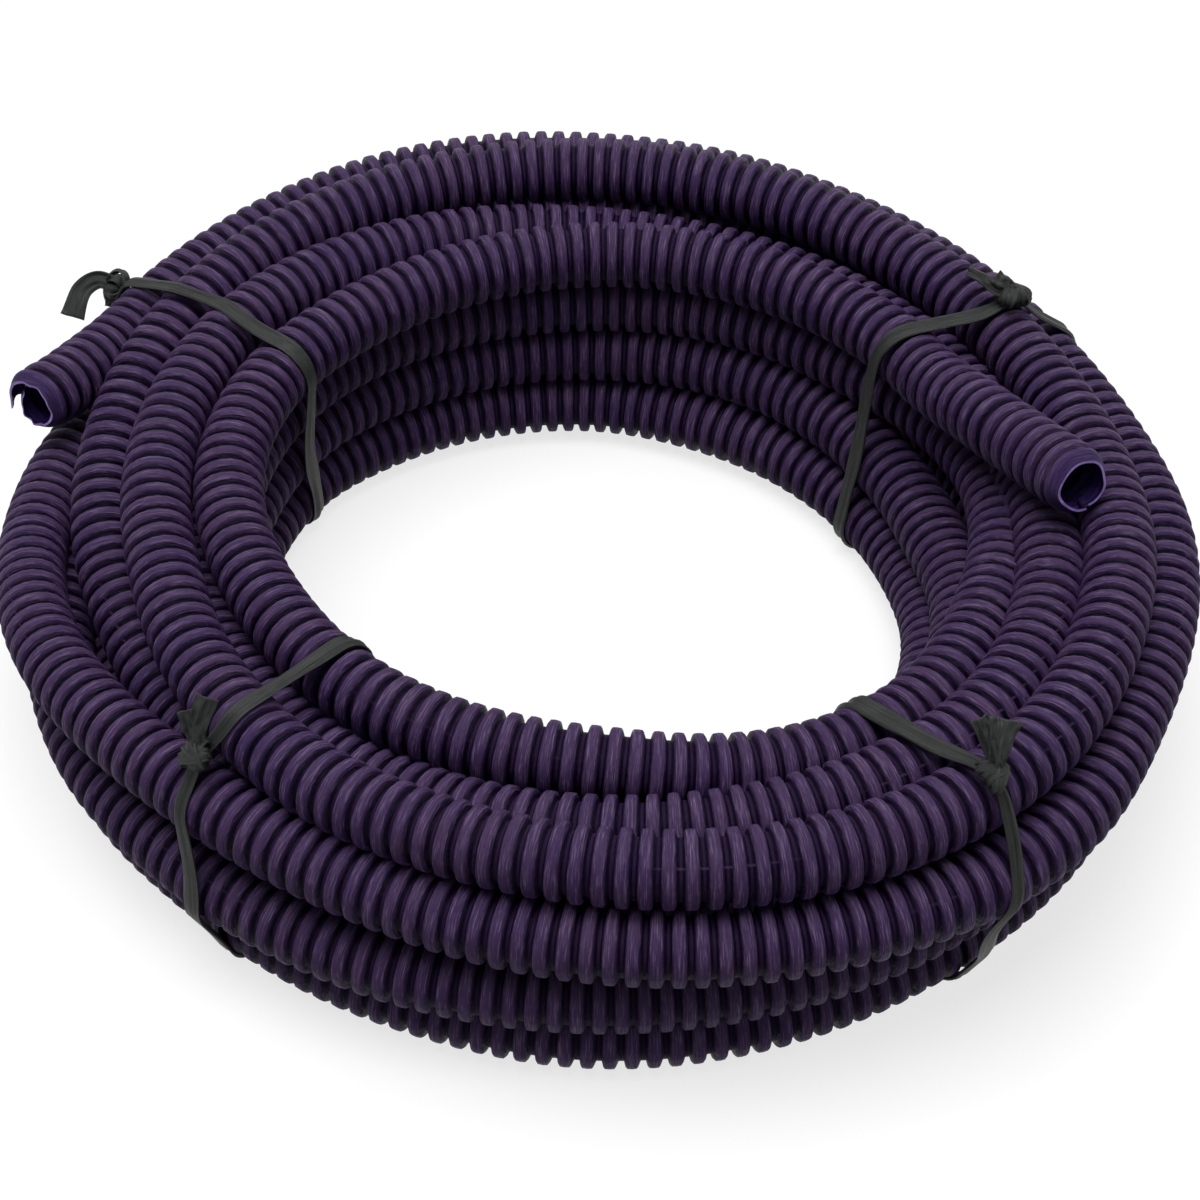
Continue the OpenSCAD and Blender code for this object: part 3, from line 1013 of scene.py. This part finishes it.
def strip(path, outward, width, thick, fold, seed, closed=False, twist=None):
    """Vertices, faces, and the two pattern attributes of a creased strip."""
    chance = np.random.default_rng(seed)
    n = len(path)
    if closed:
        tangent = np.roll(path, -1, 0) - np.roll(path, 1, 0)
    else:
        tangent = np.gradient(path, axis=0)
    tangent /= np.linalg.norm(tangent, axis=1)[:, None]
    across = np.cross(tangent, outward)
    across /= np.linalg.norm(across, axis=1)[:, None]
    out = np.cross(across, tangent)
    if twist is not None:
        c, s = np.cos(twist)[:, None], np.sin(twist)[:, None]
        across, out = c * across + s * out, c * out - s * across
    run = np.concatenate([[0], np.cumsum(np.linalg.norm(np.diff(path, axis=0), axis=1))])
    turn = run / run[-1] * 2 * math.pi
    u = np.linspace(-1, 1, ACROSS)
    height = np.zeros((n, ACROSS))
    for wave in (1.5, 2.5, 3.6):
        drift = sum(
            chance.uniform(0.2, 0.7) * np.sin(k * turn + chance.uniform(0, 6.3))
            for k in (1, 2, 3)
        )
        height += np.cos(wave * math.pi * u[None, :] + drift[:, None]
                         + chance.uniform(0, 6.3)) / wave
    height *= fold
    sides = []
    for face in (0.5, -0.5):
        lift = height + face * thick * np.sqrt(1 - 0.8 * u ** 4)[None, :]
        sides.append(
            path[:, None, :] + across[:, None, :] * (u[None, :, None] * width[:, None, None] / 2)
            + out[:, None, :] * lift[:, :, None]
        )
    points = np.concatenate([s.reshape(-1, 3) for s in sides])
    under, faces = n * ACROSS, []
    for j in range(n if closed else n - 1):
        k = (j + 1) % n
        for i in range(ACROSS - 1):
            a, b = j * ACROSS + i, k * ACROSS + i
            faces.append((a, b, b + 1, a + 1))
            faces.append((under + a, under + a + 1, under + b + 1, under + b))
        a, b = j * ACROSS, k * ACROSS
        faces.append((a, under + a, under + b, b))
        a, b = a + ACROSS - 1, b + ACROSS - 1
        faces.append((a, b, under + b, under + a))
    if not closed:
        for j, flip in ((0, False), (n - 1, True)):
            for i in range(ACROSS - 1):
                a = j * ACROSS + i
                quad = (a, a + 1, under + a + 1, under + a)
                faces.append(quad[::-1] if flip else quad)
    pattern = np.zeros((n, ACROSS, 3))
    pattern[:, :, 0] = u[None, :] + seed
    length = np.repeat(run, ACROSS)
    return points, faces, np.tile(pattern.reshape(-1, 3), (2, 1)), np.tile(length, 2)


def through(keys, count):
    """A smooth open path through a few key points."""
    keys = np.array(keys, float)
    gaps = np.linalg.norm(np.diff(keys, axis=0), axis=1)
    at = np.concatenate([[0], np.cumsum(gaps)])
    dense = np.linspace(0, at[-1], count)
    result = np.stack([smooth_through(at, keys[:, k], dense) for k in range(3)], 1)
    for _ in range(3):
        result[1:-1] = (result[:-2] + 2 * result[1:-1] + result[2:]) / 4
    return result


print("points across a ribbon:", ACROSS)

# %% [markdown]
# ## The four ties
# Each tie has its own table: the angle of its loop about the coil's axis at eight places round
# the section, the place of its knot, and the key points of its loose tails, given to the right,
# up and towards the viewer from the knot. Ribbons tied by hand are never alike.
#
# "slack" says where the loop stands off the turns, over how many degrees and by how many mm.
# "widths" are shares of the ribbon's width at the same eight places. After a tail's key points,
# in mm, come its widths at the knot and at its end, in mm, and its twist in radians.

# %% Tables of the four ties
RIBBON_WIDTH = 4.3 * MM
RIBBON_THICK = 0.45 * MM
LOWEST_RIBBON = 0.62 * MM
VIEW_RIGHT = np.array([1, 0, 0])
VIEW_UP = np.array([0, math.sin(math.radians(CAMERA_HEIGHT)),
                    math.cos(math.radians(CAMERA_HEIGHT))])
VIEW_NEAR = np.array([0, -math.cos(math.radians(CAMERA_HEIGHT)),
                      math.sin(math.radians(CAMERA_HEIGHT))])
PLACES = [0, 45, 90, 135, 180, 225, 270, 315]
TIES = {
    "tie_front_left": {
        "angles": [229, 226.4, 227.8, 228.5, 229.2, 229.5, 229.8, 230], "knot": 57, "size": 1.15,
        "slack": (340, 15, 0.6), "widths": [0.95, 0.8, 0.8, 0.82, 0.9, 0.9, 0.9, 0.95],
        "tails": [
            ([(0, 1, 1), (-0.4, 4, 2), (-1.2, 7.8, 3)], 2.4, 3.4, 0.5),
            ([(0, 1, 1), (0.8, 5, 2.2), (2.4, 10, 3.4)], 2.4, 4.2, -0.5),
        ],
    },
    "tie_front_right": {
        "angles": [303.9, 306.6, 305, 305.2, 304.8, 304.3, 305, 306.5], "knot": 60.5, "size": 1.05,
        "slack": (330, 25, 0.9), "widths": [0.75, 0.55, 0.95, 0.95, 0.9, 0.8, 0.7, 0.7],
        "tails": [
            ([(0, 1, 1), (-1.0, 4.5, 2), (-3.0, 9.4, 3)], 2.4, 3.4, 0.7),
            ([(0, 1, 1), (0.5, 4.5, 2.2), (1.5, 9.2, 3)], 2.6, 6.0, -0.3),
        ],
    },
    "tie_back_left": {
        "angles": [147, 149, 151, 156.3, 156.3, 151.5, 149.5, 147.5], "knot": 25, "size": 1.3,
        "slack": (0, 10, 0.0), "widths": [0.8, 0.6, 0.72, 0.82, 0.85, 0.85, 0.9, 0.9],
        "tails": [
            ([(0, 0.6, 1), (-3.4, 1.8, 1.5), (-7.0, -0.4, 1.5), (-8.9, -6.0, 2)], 3.4, 5.0, 0.2),
            ([(0, 0, 0), (-1.0, -2.0, 1), (-1.4, -3.8, 1)], 1.8, 2.2, 0.2),
        ],
    },
    "tie_back_right": {
        "angles": [26.8, 26.7, 26.3, 30.8, 28.8, 28.3, 27.8, 27.3], "knot": 75, "size": 1.2,
        "slack": (0, 10, 0.0), "widths": [0.8, 0.75, 0.8, 0.8, 0.85, 0.85, 0.9, 0.9],
        "tails": [
            ([(0, 0.5, 1), (-2.8, 1.0, 1.8), (-6.0, 3.0, 2), (-9.0, 4.6, 1.5)], 3.0, 2.6, 0.4),
            ([(0, 0.5, 1), (-1.8, 2.0, 1.6), (-3.6, 3.4, 1.8)], 3.0, 3.6, 0.6),
        ],
    },
}
print("ties:", ", ".join(TIES))


# %% [markdown]
# ## The loop
# A loop is walked in small steps round the section. At each step the outline of the turns gives
# the place and the outward direction. It is kept just above the floor, on which the coil rests.

# %% Path of a loop
LOOP_STEPS = 150

def tie_loop(angles, slack):
    """Path and outward directions of a loop round the coil."""
    where = np.arange(LOOP_STEPS) * 360 / LOOP_STEPS
    around = np.interp(where, PLACES + [360], angles + [angles[0]])
    blur = np.exp(-0.5 * (np.arange(-9, 10) / 4.0) ** 2)
    blur /= blur.sum()
    wrapped = np.concatenate([around[-9:], around, around[:9]])
    around = np.convolve(wrapped, blur, mode="valid")
    path, out = [], []
    for direction, angle in zip(where, around):
        outline = section_outline(angle, 0.35 * MM)
        r, z = on_outline(outline, direction)
        r2, z2 = on_outline(outline, direction + 1.0)
        a = math.radians(angle)
        path.append((r * math.cos(a), r * math.sin(a), z))
        nr, nz = z2 - z, -(r2 - r)
        out.append((nr * math.cos(a), nr * math.sin(a), nz))
    path, out = np.array(path), np.array(out)
    out /= np.linalg.norm(out, axis=1)[:, None]
    for _ in range(2):
        out = (np.roll(out, 1, 0) + 2 * out + np.roll(out, -1, 0)) / 4
    out /= np.linalg.norm(out, axis=1)[:, None]
    middle, spread, amount = slack
    apart = (where - middle + 180) % 360 - 180
    path += out * (amount * MM * np.exp(-(apart / spread) ** 2))[:, None]
    path[:, 2] = np.maximum(path[:, 2], LOWEST_RIBBON)
    return path, out


print("steps of a loop:", LOOP_STEPS)

# %% [markdown]
# ## The knot
# The knot is four short wraps of ribbon round the point where the two parts of the loop cross,
# each tilted another way, which gives the tight, lumpy bundle of a real knot.

# %% Wraps of a knot
WRAP_STEPS = 28
WRAPS = [  # tilt in radians, then width, radius and place along the loop in mm
    (0.0, 2.6, 1.75, 0.0), (0.75, 2.2, 2.05, 0.5), (-0.8, 2.2, 2.0, -0.5), (1.5, 1.8, 1.5, 0.9),
]


def knot_wraps(centre, along, out, size, seed):
    """Strips that wrap a knot's middle."""
    side = np.cross(along, out)
    made = []
    for k, (tilt, wide, radius, shift) in enumerate(WRAPS):
        axis = math.cos(tilt) * along + math.sin(tilt) * side
        axis /= np.linalg.norm(axis)
        first = np.cross(axis, out)
        first /= np.linalg.norm(first)
        second = np.cross(axis, first)
        turn = np.linspace(0, 2 * math.pi, WRAP_STEPS, endpoint=False)
        bulge = 1 + 0.12 * np.sin(2 * turn + k)
        path = centre + shift * size * MM * along + size * radius * MM * (
            np.outer(np.cos(turn) * 1.15 * bulge, first)
            + np.outer(np.sin(turn) * 0.85 * bulge, second)
        )
        outward = np.outer(np.cos(turn), first) + np.outer(np.sin(turn), second)
        width = np.full(WRAP_STEPS, wide * size * MM)
        width = width * (1 + 0.18 * np.sin(turn * 2 + seed + k))
        made.append(strip(path, outward, width, 0.5 * MM, 0.22 * MM, seed * 7 + k, closed=True))
    return made


print("wraps of a knot:", len(WRAPS))

# %% [markdown]
# ## Loop, knot and tails together
# The loop is pinched and lifted where the knot sits. The tails start in the knot, widen and
# twist towards their ends. All strips of one tie become one mesh, because they are one ribbon.

# %% Build the ties
TAIL_STEPS = 30


def build_tie(table, seed):
    """The strips of one tie: the loop, pinched at its knot, the knot's wraps and the tails."""
    loop, out = tie_loop(table["angles"], table["slack"])
    count = len(loop)
    at = int(round(table["knot"] / 360 * count)) % count
    pinch = np.exp(-(((np.arange(count) - at + count / 2) % count - count / 2) / 4.0) ** 2)
    width = RIBBON_WIDTH * (1 - 0.35 * pinch) * np.interp(
        np.arange(count) * 360 / count, PLACES + [360], table["widths"] + [table["widths"][0]]
    )
    wave = 2 * math.pi * np.arange(count) / count
    width = width * (1 + 0.07 * np.sin(5 * wave + seed) + 0.05 * np.sin(11 * wave + 2 * seed))
    loop = loop + out * (pinch * 1.0 * MM)[:, None]
    parts = [strip(loop, out, width, RIBBON_THICK, 0.28 * MM, seed, closed=True)]
    along = loop[(at + 1) % count] - loop[at - 1]
    along /= np.linalg.norm(along)
    size = table["size"]
    centre = loop[at] + out[at] * 1.3 * size * MM
    parts += knot_wraps(centre, along, out[at], size, seed)
    for k, (keys, narrow, wide, roll) in enumerate(table["tails"]):
        keys = [centre + MM * (x * VIEW_RIGHT + y * VIEW_UP + z * VIEW_NEAR) for x, y, z in keys]
        path = through(keys, TAIL_STEPS)
        grow = np.linspace(0, 1, TAIL_STEPS)
        facing = np.tile(VIEW_NEAR + 0.3 * VIEW_UP, (TAIL_STEPS, 1))
        parts.append(strip(
            path, facing, MM * (narrow + (wide - narrow) * grow ** 1.3), 0.3 * MM,
            0.4 * MM, seed * 11 + k, twist=roll * (1 - grow) + 0.25 * np.sin(6 * grow),
        ))
    return parts


def joined(name, parts, material):
    """One mesh object of several strips, with their pattern attributes."""
    points, faces, rings, runs, start = [], [], [], [], 0
    for p, f, ring, run in parts:
        points.append(p)
        faces += [tuple(i + start for i in face) for face in f]
        rings.append(ring)
        runs.append(run)
        start += len(p)
    made = new_object(name, np.concatenate(points), faces=faces)
    layer = made.data.attributes.new("ring", "FLOAT_VECTOR", "POINT")
    layer.data.foreach_set("vector", np.concatenate(rings).astype(np.float32).ravel())
    layer = made.data.attributes.new("along", "FLOAT", "POINT")
    layer.data.foreach_set("value", np.concatenate(runs).astype(np.float32))
    made.data.materials.append(material)
    made.data.polygons.foreach_set("use_smooth", [True] * len(made.data.polygons))
    face_outward(made.data)
    return made


ties = {}
for number, (name, table) in enumerate(TIES.items()):
    ties[name] = joined("ribbon_" + name, build_tie(table, number + 2), ribbon_film)
    print(ties[name].name, "faces:", len(ties[name].data.polygons))

# %% [markdown]
# ## Floor and light
# A plain white floor takes the coil's soft shadow. To the camera and in reflections it glows as
# well. To other rays it is a dull grey, which throws little light on the coil from below.

# %% Floor
FLOOR_GLOW = 0.74
floor = new_object("floor", [(-3, -3, 0), (3, -3, 0), (3, 3, 0), (-3, 3, 0)],
                   faces=[(0, 1, 2, 3)])
paper, tree, shader = new_material("white paper")
sheet = use(tree, mottling, Shade=grey(0.27), Other_shade=grey(0.28), Size=3.0)
seen = seeing_ray(tree)
pale = blend(tree, seen, grey(0.3), sheet.outputs["Color"])
tree.links.new(pale, shader.inputs["Base Color"])
glow = blend(tree, seen, grey(0), grey(FLOOR_GLOW))
tree.links.new(glow, shader.inputs["Emission Color"])
shader.inputs["Emission Strength"].default_value = 1.0
shader.inputs["Roughness"].default_value = 0.9
shader.inputs["Specular IOR Level"].default_value = 0.1
floor.data.materials.append(paper)
print("floor ready")


# %% [markdown]
# ## Lamps
# The light is as in a product tent: a large soft lamp above and a little in front, and weaker
# ones in front on the right and behind, which keep the dark plastic from going flat.

# %% Lamps
def soft_lamp(name, place, aim, size, power):
    """A square area lamp at place that faces aim."""
    data = bpy.data.lights.new(name, "AREA")
    data.shape = "SQUARE"
    data.size = size
    data.energy = power
    made = bpy.data.objects.new(name, data)
    made.location = place
    way = np.array(aim, float) - np.array(place, float)
    flat = math.hypot(way[0], way[1])
    made.rotation_euler = (math.atan2(flat, -way[2]), 0, math.atan2(-way[0], way[1]))
    bpy.context.scene.collection.objects.link(made)
    return made


soft_lamp("key", (-0.12, -0.1, 1.5), (0, 0, 0), 1.0, 23)
soft_lamp("fill", (0.8, -0.9, 0.9), (0, 0, 0), 0.8, 1.0)
soft_lamp("rim", (0.1, 1.2, 0.9), (0, 0, 0), 0.9, 2)
print("lamps ready")

# %% [markdown]
# ## World
# The camera and reflections see a white surround. The coil is lit by a much weaker one, so
# that the lamps give it its form.

# %% World
world = bpy.data.worlds.new("studio")
bpy.context.scene.world = world
world.use_nodes = True
tree = world.node_tree
tree.nodes.clear()
seen = seeing_ray(tree)
surround = add(tree, "ShaderNodeBackground", {"Color": (0.95, 0.97, 1, 1), "Strength": 0.13})
white = add(tree, "ShaderNodeBackground", {"Color": (1, 1, 1, 1), "Strength": 1.0})
either = add(tree, "ShaderNodeMixShader", {
    0: seen, 1: surround.outputs[0], 2: white.outputs[0],
})
out = add(tree, "ShaderNodeOutputWorld", {0: either.outputs[0]})
bpy.context.scene.view_settings.view_transform = "Standard"
print("world ready")

# %% [markdown]
# ## Ties to the CAD frame
# Every piece rides on the one body, and the CAD solid that it stands for is hidden. The
# helper path has done its work and goes.

# %% Hand the pieces to the frame
bpy.data.objects.remove(path_object)
for piece in [inner_mouth, *lengths, outer_mouth]:
    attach(piece, "root")
    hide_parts("conduit")
for name, piece in ties.items():
    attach(piece, "root")
    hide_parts(name)

# %% [markdown]
# ## Lengths of conduit
# The conduit is flexible. For each baked length the centreline is sampled along it, and its
# length is printed.

POINTS_A_METRE = 80
for k, piece in enumerate(lengths):
    first, last = cuts[k] * RIB_PITCH, cuts[k + 1] * RIB_PITCH
    if k == 0:
        first, last = last, first
    steps = int(abs(last - first) * POINTS_A_METRE)
    route = at_length(np.linspace(first, last, steps))
    print(piece.name, "is", round(float(abs(last - first)), 3), "m long")

# %% [markdown]
# ## Finish
# The script ends with a last word.

# %% Finish
print("finished")
